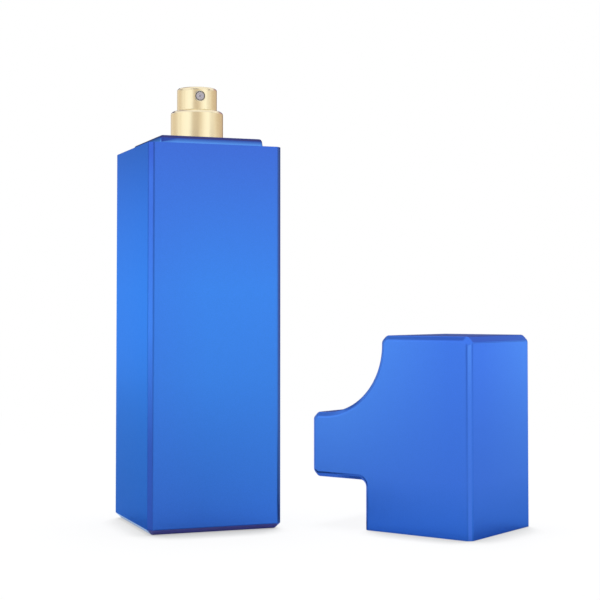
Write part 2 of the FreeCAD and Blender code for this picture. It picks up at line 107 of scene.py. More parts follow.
@named
class BottleSizes(bpy.types.PropertyGroup):
    """Sizes of the glass bottle."""
    width: length("Width of the square body", 0.046)
    shoulder: length("Height of the flat shoulder", 0.1276)
    corner: length("Bevel of the four uprights", 0.0015)
    foot: length("Bevel round the base", 0.0018)
    plinth: length("Width of the raised square under the pump", 0.0363)
    plinth_height: length("Height of the raised square", 0.003)
    plinth_draft: length("How far each side of the raised square leans in", 0.00035)
    plinth_corner: length("Radius of the raised square's corners", 0.0012)
    plinth_edge: length("Radius of the raised square's top edge", 0.0009)
    wall: length("Thickness of the glass", 0.0053)
    floor: length("Thickness of the glass base", 0.011)
    roof: length("Height of the top of the inside", 0.121)
    inside_corner: length("Radius of the inside's uprights", 0.007)
    inside_foot: length("Radius round the inside's floor", 0.005)
    inside_top: length("Radius round the inside's roof", 0.006)
    neck: length("Radius of the neck under its bead", 0.0065)
    bead: length("Radius of the bead that the pump is crimped on", 0.0074)
    bead_height: length("Height of the bead", 0.0031)
    bore: length("Radius of the bore", 0.0047)
    lip: length("Height of the glass lip", 0.1354)
    push_up: length("Radius of the hollow under the base", 0.015)
    push_up_depth: length("Depth of the hollow under the base", 0.0009)
    soft_edge: length("Rounding along the bevels of the uprights", 0.0005)


@named
class PumpSizes(bpy.types.PropertyGroup):
    """Sizes of the gold collar, the spray head and the spring."""
    collar: length("Radius of the gold sleeve", 0.009)
    collar_foot: length("Height of the sleeve's lower edge", 0.1307)
    collar_top: length("Height of the sleeve's upper lip", 0.1414)
    collar_round: length("Radius of the sleeve's shoulder", 0.0011)
    collar_rise: length("Rise from the shoulder to the lip", 0.0003)
    collar_mouth: length("Radius of the opening for the head", 0.0072)
    collar_sheet: length("Thickness of the sleeve", 0.00045)
    head: length("Radius of the spray head", 0.00685)
    head_foot: length("Height of the shell's lower edge", 0.14085)
    head_top: length("Height of the top of the head", 0.1491)
    head_round: length("Radius of the top edge", 0.0007)
    head_sheet: length("Thickness of the shell", 0.0004)
    dish: length("Radius of the finger dish", 0.0054)
    dish_depth: length("Depth of the finger dish", 0.0003)
    nozzle: length("Height of the nozzle's axis", 0.1459)
    nozzle_hole: length("Radius of the hole in the shell", 0.00175)
    nozzle_radius: length("Radius of the nozzle insert", 0.0015)
    nozzle_length: length("Length of the nozzle insert", 0.0026)
    nozzle_recess: length("How far the insert stands back", 0.0003)
    head_turn: angle("Which way the nozzle points", -7.3)
    spring_foot: length("Height of the shelf under the spring", 0.1198)
    spring_length: length("Length of the spring at rest", 0.0091)
    spring_radius: length("Radius of the coil", 0.0023)
    spring_wire: length("Radius of the wire", 0.00025)
    stroke: length("Travel of the pump", 0.0033)


@named
class CapSizes(bpy.types.PropertyGroup):
    """Sizes of the cap and where it stands."""
    width: length("Width and depth of the stem", 0.0407)
    height: length("Height of the cap", 0.0644)
    flag: length("Reach of the flag past the stem", 0.0214)
    flag_bottom: length("Height of the flag's underside", 0.0162)
    bite: length("Radius of the quarter-round bite", 0.0232)
    bite_stem: length("Straight of the stem above the bite", 0.0012)
    bite_flag: length("Straight of the flag beside the bite", 0.0027)
    bevel: length("Bevel round the front and back", 0.0015)
    corner: length("Clip of the outline's corners", 0.0019)
    notch: length("Radius in the notch under the flag", 0.0022)
    skirt: length("Thickness of the skirt round the recess", 0.002)
    recess: length("Depth of the recess for the plinth", 0.0032)
    flange: length("Radius of the pocket for the liner's flange", 0.0141)
    flange_top: length("Height of that pocket", 0.0042)
    socket: length("Radius of the pocket for the liner", 0.0107)
    socket_top: length("Height of that pocket", 0.025)
    soft_edge: length("Rounding along the bevels", 0.0005)
    place: point("Where the removed cap stands", (0.0752, -0.0417, 0.0))
    turn: angle("Which way the removed cap faces", -57.4)


@named
class Finishes(bpy.types.PropertyGroup):
    """Colours of the finishes, and of the painted shade, painted highlights and painted reflections on the
    lacquer and the nozzle.
    """
    lacquer: colour("Metallic blue of the bottle", (0.054, 0.255, 0.89))
    # Painted shade: the bottle's blue darker at shoulder height and near the base; painted light: lighter
    # near the base at the right.
    lacquer_painted_shade_top: colour("The blue at shoulder height", (0.06, 0.163, 0.71))
    lacquer_low: colour("The blue near the base", (0.048, 0.19, 0.75))
    lacquer_painted_light_low_right: colour("The blue near the base at the right", (0.055, 0.225, 0.86))
    # Painted reflections on the bevel round the base: violet, and pale at the left side.
    lacquer_bevel: colour("Violet bevel round the base", (0.34, 0.33, 0.82))
    lacquer_painted_light_bevel_side: colour("That bevel at the left side", (0.85, 0.95, 1.0))
    # Painted highlight at the foot of the raised square; painted shade at its crest and along its top edge.
    lacquer_painted_highlight_foot: colour("The blue at the foot of the raised square", (0.12, 0.37, 0.96))
    lacquer_painted_shade_crest: colour("The blue at the top of the raised square's sides", (0.035, 0.08, 0.4))
    lacquer_painted_shade_edge: colour("The deep blue of the raised square's top edge", (0.055, 0.06, 0.22))
    lacquer_rim: colour("The blue where it is seen at a slant", (0.4, 0.6, 0.92))
    # Painted shade and highlight on the bevels of the uprights: violet low down, lighter half-way up, darker
    # under the shoulder and greyer at the right.
    upright: colour("The blue of the bevels up the body", (0.06, 0.19, 0.8))
    upright_painted_shade_top: colour("Those bevels under the shoulder", (0.054, 0.15, 0.72))
    upright_painted_highlight: colour("Those bevels half-way up", (0.062, 0.25, 0.93))
    upright_painted_shade_low: colour("Violet of those bevels near the base", (0.046, 0.132, 0.61))
    upright_painted_shade_right: colour("Greyer blue of those at the right", (0.075, 0.15, 0.46))
    cap_lacquer: colour("Metallic blue of the cap", (0.064, 0.22, 0.9))
    # Painted light on the cap high up and away from its near upright; painted shade near its foot.
    cap_painted_light: colour("The cap's blue high up and away from its near upright", (0.095, 0.32, 1.0))
    cap_painted_shade_low: colour("The blue near the cap's foot", (0.043, 0.192, 0.79))
    # Painted highlight up the cap's upright bevels, lighter towards the top.
    cap_edge: colour("Lighter blue of the cap's upright bevels", (0.078, 0.245, 0.95))
    cap_bevel_painted_light_top: colour("Top of those bevels", (0.1, 0.3, 1.0))
    cap_rim: colour("The blue where it is seen at a slant", (0.62, 0.72, 0.98))
    gold: colour("Pale gold of the collar and the head", (0.98, 0.875, 0.585))
    aluminium: colour("Bare sheet of the ferrule", (0.80, 0.80, 0.81))
    steel: colour("Ball and spring", (0.62, 0.62, 0.63))
    plastic: colour("Natural plastic of the pump", (0.80, 0.79, 0.76))
    nozzle: colour("Pale grey of the nozzle", (0.92, 0.84, 0.87))
    # Painted shade: the nozzle's dark rim where the disc meets the shell's hole.
    nozzle_painted_shade_rim: colour("Dark rim of the nozzle", (0.06, 0.035, 0.025))
    tube: colour("Clear dip tube", (0.90, 0.94, 0.96))
    rubber: colour("Neck gasket", (0.035, 0.035, 0.038))


@named
class StudioSettings(bpy.types.PropertyGroup):
    """Camera and light."""
    eye: point("Where the camera stands", (-0.14181, -0.46979, 0.0735))
    turn: angle("Which way the camera looks", -20.965)
    pitch: angle("How far the camera looks up", 2.0)
    lens: FloatProperty(description="Focal length", default=85.18, unit="CAMERA")
    shift: FloatProperty(description="Upward shift of the picture", default=-0.0697)
    floor: colour("The pale surface", (0.62, 0.62, 0.62))
    floor_seen: colour("The surface as the camera sees it", WHITE)
    floor_lift: share("How far the floor is lifted to white", 0.92)
    contact: length("How far from the object the floor is darker", 0.016)
    contact_light: share("Light left where the object meets the floor", 0.55)
    sky: share("Strength of the sky for matt surfaces", 0.45)
    lamp_power: FloatProperty(description="Power of the soft top light", default=10.0, subtype="POWER",
                              unit="POWER")
    tent_radius: length("Radius of the round light tent", 1.3)
    tent_height: length("Height of the tent's wall", 0.9)


def rgba(colour_value):
    """A colour with full alpha."""
    return (*colour_value, 1.0)


def shade(colour_value, factor):
    """A lighter or darker colour."""
    return tuple(min(1.0, channel * factor) for channel in colour_value)


class Shading:
    """Shader nodes of a material or a world, on Object coordinates."""

    def __init__(self, owner):
        owner.use_nodes = True
        self.material = owner
        self.nodes = owner.node_tree.nodes
        self.links = owner.node_tree.links
        self.place = self.nodes.new("ShaderNodeTexCoord").outputs["Object"]

    def put(self, socket, value):
        """Links an input, or sets it."""
        if isinstance(value, bpy.types.NodeSocket):
            self.links.new(value, socket)
        else:
            socket.default_value = rgba(value) if socket.type == "RGBA" else value

    def fill(self, node, sockets):
        """Links or sets a node's inputs by their names."""
        for name, value in sockets.items():
            self.put(node.inputs[name.replace("_", " ")], value)
        return node

    def add(self, kind, **sockets):
        """A new node."""
        return self.fill(self.nodes.new(kind), sockets)

    def split(self):
        """The place's X, Y and Z."""
        return self.add("ShaderNodeSeparateXYZ", Vector=self.place).outputs

    def calculate(self, kind, operation, *values):
        """The outputs of a calculation."""
        node = self.nodes.new(kind)
        node.operation = operation
        for socket, value in zip(node.inputs, values):
            self.put(socket, value)
        return node.outputs

    def number(self, operation, first, second):
        """A calculation with two numbers."""
        return self.calculate("ShaderNodeMath", operation, first, second)["Value"]

    def times(self, first, second):
        """A vector or a colour times another, or times a number."""
        return self.calculate("ShaderNodeVectorMath", "MULTIPLY", first, second)["Vector"]

    def distance(self, first, second):
        """How far apart two places are."""
        return self.calculate("ShaderNodeVectorMath", "DISTANCE", first, second)["Value"]

    def between(self, value, low, high, start=0.0, end=1.0):
        """A straight run from one number to another between two limits."""
        return self.add("ShaderNodeMapRange", Value=value, From_Min=low, From_Max=high, To_Min=start,
                        To_Max=end).outputs["Result"]

    def blend(self, factor, first, second):
        """One colour into another."""
        node = self.nodes.new("ShaderNodeMix")
        node.data_type = "RGBA"
        sockets = {socket.identifier: socket for socket in (*node.inputs, *node.outputs)}
        for name, value in (("Factor_Float", factor), ("A_Color", first), ("B_Color", second)):
            self.put(sockets[name], value)
        return sockets["Result_Color"]

    def fade(self, value, band, first, second):
        """One colour below a band, another above it."""
        return self.blend(self.between(value, *band), first, second)

    def noise(self, scale, detail=2.0, stretch=(1.0, 1.0, 1.0)):
        """Noise, stretched along an axis where the grain runs."""
        mapping = self.add("ShaderNodeMapping", Vector=self.place, Scale=stretch)
        return self.add("ShaderNodeTexNoise", Vector=mapping.outputs["Vector"], Scale=scale,
                        Detail=detail).outputs["Fac"]

    def ramp(self, value, marks):
        """Colours along a ramp."""
        node = self.add("ShaderNodeValToRGB", Fac=value)
        elements = node.color_ramp.elements
        elements.remove(elements[-1])
        elements[0].position = marks[0][0]
        elements[0].color = rgba(marks[0][1])
        for position, colour_value in marks[1:]:
            elements.new(position).color = rgba(colour_value)
        return node.outputs["Color"]

    def seen_rays(self):
        """Switches for rays from the camera, from gloss and through glass, and for the camera's alone."""
        path = self.nodes.new("ShaderNodeLightPath").outputs
        seen = self.number("MAXIMUM", path["Is Camera Ray"], path["Is Glossy Ray"])
        return self.number("MAXIMUM", seen, path["Is Transmission Ray"]), path["Is Camera Ray"]

    def surface(self, shader):
        """Gives the material this shader in place of its first one."""
        self.nodes.remove(self.nodes["Principled BSDF"])
        self.links.new(shader.outputs[0], self.nodes["Material Output"].inputs["Surface"])

    def shine(self, colour_value, strength):
        """Makes the material a light of its own."""
        self.surface(self.add("ShaderNodeEmission", Color=colour_value, Strength=strength))


class Finish(Shading):
    """A procedural material of one of the pieces."""

    def __init__(self, name):
        super().__init__(bpy.data.materials.new(name))
        self.shader = self.nodes["Principled BSDF"]

    def set(self, **values):
        """Sets or links the shader's sockets."""
        self.fill(self.shader, values)

    def relief(self, height, strength, distance):
        """Fine relief of the surface."""
        bump = self.add("ShaderNodeBump", Height=height, Strength=strength, Distance=distance)
        self.set(Normal=bump.outputs["Normal"])

    def toned(self, pattern, base, darkest, lightest):
        """A colour that a pattern makes a little darker and lighter."""
        return self.blend(pattern, shade(base, darkest), shade(base, lightest))

    def spread(self, pattern, low, high):
        """A pattern moved to a range."""
        return self.between(pattern, 0.0, 1.0, low, high)

    def grained(self, grain, base, tones, roughness, relief, distance=FINE_RELIEF, **others):
        """A grain that shows in the colour, the roughness and the relief."""
        self.set(Base_Color=self.toned(grain, base, *tones), Roughness=self.spread(grain, *roughness),
                 **others)
        self.relief(grain, relief, distance)
        return self.material

    def lacquer(self, base, rim):
        """Fine metal flake in a satin lacquer."""
        flake = self.spread(self.noise(scale=5200.0, detail=1.0), low=0.9, high=1.1)
        self.set(Base_Color=self.times(base, flake), Metallic=1.0, Specular_Tint=rim,
                 Roughness=self.spread(self.noise(scale=900.0, detail=3.0), 0.26, 0.33))
        self.relief(self.noise(scale=420.0), strength=0.03, distance=SOFT_RELIEF)
        return self.material


def bottle_lacquer(s, colours):
    """Satin metallic blue with painted shade and light: painted shade deeper towards the shoulder, the base
    and the left of the front and the back, painted light near the base at the right, painted reflections on
    the bevel round the base, a painted highlight at the plinth's foot and painted shade at its crest,
    reaching lower at its left end.
    """
    finish = Finish("bottle's lacquer with painted shade and light")
    across, depth, height = finish.split()
    side, plinth_side = s.width / 2, s.plinth / 2
    plinth_top = s.shoulder + s.plinth_height
    rightwards = (-0.005, side)
    painted_shade_leftwards = (s.corner - side, -0.003)
    lower, upper = (0.0, 0.05), (0.08, 0.132)
    off_left_face = (-side + 0.0001, -side + 0.0003)
    off_left_bevel = (-side + 0.0012, -side + 0.0017)
    behind_corner = (s.corner - side, s.corner - side + 0.001)
    over_foot = (s.foot - 0.0003, s.foot)
    over_shoulder = (s.shoulder - 0.0001, s.shoulder + 0.0003)
    plinth_foot, plinth_crest, wedge_tip = (s.shoulder + rise for rise in (0.0004, 0.0021, 0.0006))
    off_plinth_left = (-plinth_side + 0.0004, -plinth_side + 0.0007)
    on_plinth_top = (plinth_top - 0.0001, plinth_top)
    wedge_length = 0.006

    # Painted shade near the base and under the shoulder, and painted light near the base at the right.
    base = finish.fade(across, rightwards, colours.lacquer_low, colours.lacquer_painted_light_low_right)
    middle = finish.fade(height, lower, base, colours.lacquer)
    body = finish.fade(height, upper, middle, colours.lacquer_painted_shade_top)
    # Painted shade: the bevels' darker blue mixed into the front and the back towards their left.
    front = finish.blend(finish.between(across, *painted_shade_leftwards, start=0.7), colours.upright, body)
    sides = finish.fade(across, off_left_face, body, front)
    # Painted reflections on the bevel round the base: pale at the left side, violet elsewhere.
    side_bevel = finish.fade(across, off_left_bevel, colours.lacquer_painted_light_bevel_side, colours.lacquer_bevel)
    bevel_round = finish.fade(depth, behind_corner, colours.lacquer_bevel, side_bevel)
    block = finish.fade(height, over_foot, bevel_round, sides)

    # Painted highlight at the plinth's foot and painted shade at its crest, which reaches lower at the left
    # end as a dark wedge.
    falling = finish.between(across, -plinth_side, -plinth_side + wedge_length, wedge_tip, plinth_crest)
    flank, wedge = (finish.fade(height, (plinth_foot, limit), colours.lacquer_painted_highlight_foot, colours.lacquer_painted_shade_crest)
                    for limit in (plinth_crest, falling))
    plinth_sides = finish.fade(across, off_plinth_left, flank, wedge)
    plinth = finish.fade(height, on_plinth_top, plinth_sides, colours.lacquer)
    return finish.lacquer(finish.fade(height, over_shoulder, block, plinth), colours.lacquer_rim)


def bottle_edges(s, colours):
    """The lacquer along the bottle's edges, painted with shade and a highlight: violet painted shade near the
    base, a lighter painted highlight half-way up, darker painted shade under the shoulder and on the
    right-hand bevels, and deep blue painted shade on the plinth's edge.
    """
    finish = Finish("lacquer on the bottle's edges")
    across, _, height = finish.split()
    lower, upper, top = (0.028, 0.066), (0.07, 0.106), (0.116, 0.1235)
    rightwards = (0.0, s.width / 2 - s.corner)
    over_shoulder = (s.shoulder, s.shoulder + 0.0005)
    middle = finish.fade(height, lower, colours.upright_painted_shade_low, colours.upright_painted_highlight)
    high = finish.fade(height, upper, middle, colours.upright)
    left = finish.fade(height, top, high, colours.upright_painted_shade_top)
    uprights_round = finish.fade(across, rightwards, left, colours.upright_painted_shade_right)
    edges = finish.fade(height, over_shoulder, uprights_round, colours.lacquer_painted_shade_edge)
    return finish.lacquer(edges, colours.lacquer_rim)


def cap_lacquer(s, colours):
    """The same lacquer on the cap, with painted light high up and away from its near upright and painted
    shade near its foot.
    """
    finish = Finish("cap lacquer")
    _, _, height = finish.split()
    near_reach, far_reach, foot = 0.008, 0.05, (0.0, 0.018)
    corner = Matrix.Rotation(s.turn, 3, "Z") @ Vector((s.width / 2, -s.width / 2, 0.0)) + Vector(s.place)
    level_place = finish.times(finish.place, (1.0, 1.0, 0.0))
    reach = finish.distance(level_place, (corner.x, corner.y, 0.0))
    # Painted light rising with height and with distance from the near upright, and painted shade near the
    # foot.
    painted_light_amount = finish.between(height, 0.0, s.height, 0.0, finish.between(reach, near_reach, far_reach))
    body = finish.blend(painted_light_amount, colours.cap_lacquer, colours.cap_painted_light)
    return finish.lacquer(finish.fade(height, foot, colours.cap_painted_shade_low, body), colours.cap_rim)


def cap_edges(s, colours):
    """The lacquer on the cap's upright bevels, with a painted highlight that grows lighter towards the top.
    """
    finish = Finish("painted highlight in the lacquer of the cap's edges")
    _, _, height = finish.split()
    top = (0.045, s.height)
    return finish.lacquer(finish.fade(height, top, colours.cap_edge, colours.cap_bevel_painted_light_top), colours.cap_rim)


def gold_finish():
    """Polished pale gold sheet with a faint turned grain, one material for the collar and the head."""
    made = bpy.data.materials.get("pale gold")
    if made:
        return made
    finish = Finish("pale gold")
    turned = finish.noise(scale=700.0, detail=3.0, stretch=(0.05, 0.05, 6.0))
    gold = bpy.context.scene.finishes.gold
    return finish.grained(turned, gold, tones=(0.97, 1.02), roughness=(0.1, 0.17), relief=0.04, Metallic=1.0)


def metal_finish(name, base, roughness):
    """Drawn or ground bare metal."""
    finish = Finish(name)
    drawn = finish.noise(scale=900.0, detail=3.0, stretch=(1.0, 1.0, 0.08))
    return finish.grained(drawn, base, tones=(0.93, 1.05), roughness=roughness, relief=0.08, Metallic=1.0)


def plastic_finish(base):
    """Moulded plastic with a fine matt grain."""
    finish = Finish("pump plastic")
    cloud = finish.noise(scale=260.0, detail=3.0)
    grain = finish.noise(scale=3000.0)
    finish.set(Base_Color=finish.toned(cloud, base, darkest=0.95, lightest=1.03),
               Roughness=finish.spread(grain, 0.35, 0.5), Subsurface_Weight=0.15, Subsurface_Scale=0.001)
    finish.relief(grain, strength=0.05, distance=FINE_RELIEF)
    return finish.material


def nozzle_finish(s, colours):
    """Pale plastic with painted shade as a dark rim, where the disc turns down into the shell's hole."""
    finish = Finish("nozzle plastic")
    rim_inside, rim_outside = s.nozzle_radius - 0.0002, s.nozzle_radius - 0.00005
    turned = finish.add("ShaderNodeVectorRotate", Vector=finish.place, Angle=-s.head_turn).outputs["Vector"]
    flat = finish.times(turned, (1.0, 0.0, 1.0))
    # Painted shade on the rim of the disc.
    rim = finish.between(finish.distance(flat, (0.0, 0.0, s.nozzle)), rim_inside, rim_outside)
    grain = finish.noise(scale=3000.0)
    disc = finish.toned(grain, colours.nozzle, darkest=0.96, lightest=1.04)
    finish.set(Base_Color=finish.blend(rim, disc, colours.nozzle_painted_shade_rim),
               Roughness=finish.spread(grain, 0.4, 0.55))
    finish.relief(grain, strength=0.05, distance=FINE_RELIEF)
    return finish.material


def tube_finish(base):
    """Clear extruded plastic with faint draw lines."""
    finish = Finish("clear tube")
    lines = finish.noise(scale=2500.0, stretch=(1.0, 1.0, 0.02))
    return finish.grained(lines, base, tones=(0.96, 1.0), roughness=(0.08, 0.2), relief=0.05,
                          Transmission_Weight=0.9, IOR=1.5)


def rubber_finish(base):
    """Soft black rubber."""
    finish = Finish("gasket rubber")
    grain = finish.noise(scale=1800.0, detail=3.0)
    return finish.grained(grain, base, tones=(1.0, 1.6), roughness=(0.6, 0.8), relief=0.1,
                          distance=SOFT_RELIEF)


def bevel(bm, edges, offset, segments):
    """Bevels edges to a flat or a round, and gives the new faces."""
    return bmesh.ops.bevel(bm, geom=edges, offset=offset, offset_type="OFFSET", segments=segments,
                           profile=0.5, affect="EDGES", clamp_overlap=False, material=-1)["faces"]


def face_outwards(bm):
    """Turns every face outwards."""
    bmesh.ops.recalc_face_normals(bm, faces=bm.faces)


def verts_of(geometry):
    """The points among the results of an operator."""
    return [v for v in geometry if isinstance(v, bmesh.types.BMVert)]


def square_prism(bm, width, low, high):
    """Square block on the axis."""
    verts = bmesh.ops.create_cube(bm, size=1.0)["verts"]
    bmesh.ops.scale(bm, vec=(width, width, high - low), verts=verts)
    bmesh.ops.translate(bm, vec=(0.0, 0.0, (low + high) / 2), verts=verts)


def lies_at(element, z):
    """Whether an edge or a face lies at one height."""
    return all(abs(v.co.z - z) < NEAR for v in element.verts)


def edges_at(bm, z):
    """Edges that lie at one height."""
    return [e for e in bm.edges if lies_at(e, z)]


def uprights(bm, low, high):
    """Edges that stand between two heights."""
    standing = [e for e in bm.edges if abs(abs(e.verts[0].co.z - e.verts[1].co.z) - (high - low)) < NEAR]
    return [e for e in standing if abs(min(v.co.z for v in e.verts) - low) < NEAR]


def remove_faces_at(bm, z):
    """Opens a block at one height."""
    bmesh.ops.delete(bm, geom=[f for f in bm.faces if lies_at(f, z)], context="FACES_ONLY")


def fill_ring(bm, z):
    """Closes the flat ring between two outlines at one height."""
    bmesh.ops.triangle_fill(bm, use_beauty=True, use_dissolve=False, edges=edges_at(bm, z))


def profile(bm, first, *steps):
    """A line in the XZ plane. A step is a point (x, z), or (centre, angle, count) for an arc."""
    verts = [bm.verts.new((first[0], 0.0, first[1]))]
    edges = []
    for step in steps:
        if len(step) == 2:
            end = bmesh.ops.extrude_vert_indiv(bm, verts=[verts[-1]])
            bmesh.ops.translate(bm, verts=end["verts"], vec=Vector((step[0], 0.0, step[1])) - verts[-1].co)
            edges += end["edges"]
            verts += end["verts"]
        else:
            (x, z), turned, count = step
            before = set(bm.edges)
            arc = bmesh.ops.spin(bm, geom=[verts[-1]], cent=(x, 0.0, z), axis=(0.0, 1.0, 0.0), angle=turned,
                                 dvec=(0.0, 0.0, 0.0), steps=count, use_merge=False, use_duplicate=False)
            edges += [e for e in bm.edges if e not in before]
            verts += verts_of(arc["geom_last"])
    return edges


def dome_radius(chord, rise):
    """Radius of the sphere whose cap has this radius at its rim and this rise."""
    return (chord ** 2 + rise ** 2) / (2 * rise)


def lathe(bm, edges, steps):
    """Turns a line about the axis."""
    verts = list({v for e in edges for v in e.verts})
    bmesh.ops.spin(bm, geom=verts + edges, cent=(0.0, 0.0, 0.0), axis=(0.0, 0.0, 1.0), dvec=(0.0, 0.0, 0.0),
                   angle=math.tau, steps=steps, use_merge=True, use_duplicate=False)
    on_axis = [v for v in bm.verts if v.co.xy.length < NEAR]
    bmesh.ops.remove_doubles(bm, verts=on_axis, dist=NEAR)


def sharp_edges(bm):
    """Edges between faces that meet at more than a slight angle, apart from those on the ground."""
    slight = 0.45
    return [e for e in bm.edges if e.calc_face_angle(0.0) > slight and not lies_at(e, 0.0)]


def stands(edge):
    """Whether an edge stands more or less straight up."""
    along = edge.verts[0].co - edge.verts[1].co
    return abs(along.z) > along.xy.length


def tone(faces, slot=PAINTED_BEVEL_SLOT):
    """Gives faces one of their piece's finishes, or else that of the edges, with its painted shade and
    highlights.
    """
    for face in faces:
        face.material_index = slot


def mesh_object(bm, name, *materials):
    """An object with a mesh and its materials."""
    mesh = bpy.data.meshes.new(name)
    bm.to_mesh(mesh)
    bm.free()
    for material in materials:
        mesh.materials.append(material)
    made = bpy.data.objects.new(name, mesh)
    bpy.context.scene.collection.objects.link(made)
    return made


def piece(bm, name, node, body, slot, *finishes):
    """A finished piece that stands for a solid and moves with its body."""
    made = mesh_object(bm, name, *finishes)
    made.data.shade_smooth()
    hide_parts(node)
    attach(made, body)
    return made


def soften(made, width, degrees=25.0):
    """Fine rounding on the edges that are still sharp, and flat faces that stay flat."""
    edge = made.modifiers.new("soft edges", "BEVEL")
    edge.width = width
    edge.segments = 3
    edge.limit_method = "ANGLE"
    edge.angle_limit = math.radians(degrees)
    edge.use_clamp_overlap = True
    flat = made.modifiers.new("flat faces", "WEIGHTED_NORMAL")
    flat.mode = "FACE_AREA"
    flat.weight = 50
    flat.keep_sharp = True


class BottleBuilder:
    """Shared by the operators of the sidebar."""
    bl_options = {"REGISTER", "UNDO"}


class SPRAYBOTTLE_OT_bottle(BottleBuilder, bpy.types.Operator):
    """Glass bottle: bevelled body, plinth, crimp neck, inside and push-up"""
    bl_idname = "spray_bottle.bottle"
    bl_label = "Bottle"

    def execute(self, context):
        s, colours = context.scene.bottle_sizes, context.scene.finishes
        bm = bmesh.new()
        self.body(bm, s)
        self.plinth(bm, s)
        self.neck(bm, s)
        self.inside(bm, s)
        self.push_up(bm, s)
        face_outwards(bm)
        made = piece(bm, "bottle", "bottle_glass", "bottle", "lacquered_glass",
                     bottle_lacquer(s, colours), bottle_edges(s, colours))
        made.visible_glossy = False
        soften(made, FINE_EDGE)
        return {"FINISHED"}

    def body(self, bm, s):
        """The bevelled block, open at the shoulder and the base."""
        square_prism(bm, s.width, 0.0, s.shoulder)
        # The uprights' bevels take the edges' lacquer with its painted shade and highlight.
        tone(bevel(bm, uprights(bm, 0.0, s.shoulder), s.corner, segments=1))
        bevel(bm, edges_at(bm, 0.0), s.foot, segments=1)
        bevel(bm, [e for e in sharp_edges(bm) if stands(e)], s.soft_edge, segments=4)
        remove_faces_at(bm, s.shoulder)
        remove_faces_at(bm, 0.0)

    def plinth(self, bm, s):
        """The raised square with drafted sides and rounded edges, and the shoulder round it."""
        top = s.shoulder + s.plinth_height
        square_prism(bm, s.plinth, s.shoulder, top)
        raised = {v for e in edges_at(bm, top) for v in e.verts}
        narrowed = 1.0 - 2 * s.plinth_draft / s.plinth
        bmesh.ops.scale(bm, vec=(narrowed, narrowed, 1.0), verts=list(raised))
        bevel(bm, uprights(bm, s.shoulder, top), s.plinth_corner, segments=5)
        # The raised square's top edge takes the edges' lacquer, painted deep blue as shade.
        tone(bevel(bm, edges_at(bm, top), s.plinth_edge, segments=6))
        remove_faces_at(bm, s.shoulder)
        remove_faces_at(bm, top)
        tone(bmesh.ops.bridge_loops(bm, edges=edges_at(bm, s.shoulder))["faces"], FACE_SLOT)

    def neck(self, bm, s):
        """The crimp neck with its bead and bore."""
        foot = s.shoulder + s.plinth_height
        bead_foot = s.lip - s.bead_height
        line = profile(bm, (s.neck, foot), (s.neck, bead_foot), (s.bead, bead_foot), (s.bead, s.lip),
                       (s.bore, s.lip), (s.bore, s.roof))
        lathe(bm, line, ROUND_STEPS)
        fill_ring(bm, foot)

    def inside(self, bm, s):
        """The rounded inside, open to the bore."""
        square_prism(bm, s.width - 2 * s.wall, s.floor, s.roof)
        bevel(bm, uprights(bm, s.floor, s.roof), s.inside_corner, segments=6)
        bevel(bm, edges_at(bm, s.floor), s.inside_foot, segments=5)
        bevel(bm, [e for e in edges_at(bm, s.roof) if not e.is_boundary], s.inside_top, segments=5)
        remove_faces_at(bm, s.roof)
        fill_ring(bm, s.roof)

    def push_up(self, bm, s):
        """The shallow hollow under the base."""
        dome_steps = 6
        dome = dome_radius(s.push_up, s.push_up_depth)
        centre = (0.0, s.push_up_depth - dome)
        line = profile(bm, (s.push_up, 0.0), (centre, -math.asin(s.push_up / dome), dome_steps))
        lathe(bm, line, ROUND_STEPS)
        fill_ring(bm, 0.0)


class SPRAYBOTTLE_OT_collar(BottleBuilder, bpy.types.Operator):
    """Gold sleeve with a rounded shoulder and a raised lip"""
    bl_idname = "spray_bottle.collar"
    bl_label = "Collar"

    def execute(self, context):
        s = context.scene.pump_sizes
        crown = s.collar_top - s.collar_rise
        turn_r, turn_z = s.collar - s.collar_round, crown - s.collar_round
        bm = bmesh.new()
        line = profile(bm, (s.collar, s.collar_foot), (s.collar, turn_z),
                       ((turn_r, turn_z), -math.pi / 2, EDGE_STEPS), (s.collar_mouth, s.collar_top))
        lathe(bm, line, COLLAR_STEPS)
        face_outwards(bm)
        bmesh.ops.solidify(bm, geom=bm.faces[:], thickness=s.collar_sheet)
        made = piece(bm, "collar", "collar_sleeve", "bottle", "gold_metal", gold_finish())
        soften(made, width=0.00008, degrees=40.0)
        return {"FINISHED"}


